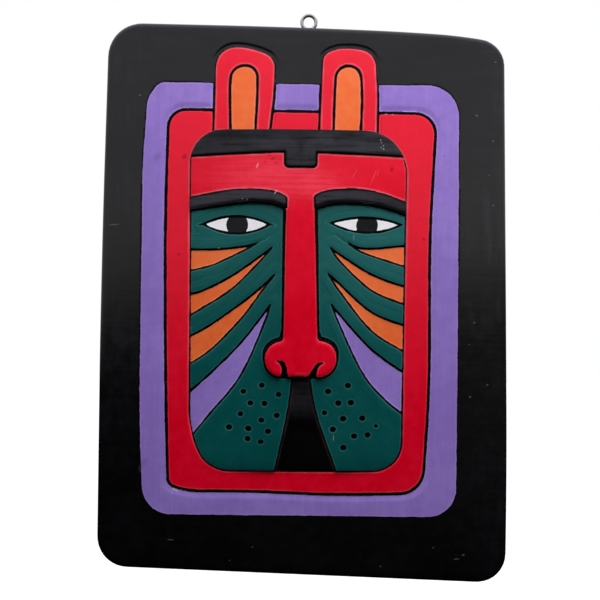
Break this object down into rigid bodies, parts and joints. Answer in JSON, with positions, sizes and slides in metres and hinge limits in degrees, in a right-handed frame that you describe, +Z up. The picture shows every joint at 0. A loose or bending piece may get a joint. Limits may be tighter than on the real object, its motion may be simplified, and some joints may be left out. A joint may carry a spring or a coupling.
{
  "type": "carved animal-face wall plaque",
  "caption": "Rounded rectangular wooden wall plaque, painted black, with a stylised long-eared animal face carved in painted low relief and a metal screw eye in its top edge to hang it by.",
  "frame": {"origin": "centre of the screw eye's ring, where the plaque hangs", "axes": "+Z up along the board's length, the carved face looks along -Y, +Y is the board's thickness towards the wall"},
  "size_m": [0.2977, 0.03, 0.4172],
  "materials": {
    "painted_wood": "brushed satin paint: black board, lilac and red surrounds, dark green, orange, lilac and white face with black outlines",
    "nickel_wire": "bright nickel-plated steel wire"
  },
  "bodies": {
    "root": {"carved_board": "painted_wood", "screw_eye": "nickel_wire"}
  },
  "joints": []
}
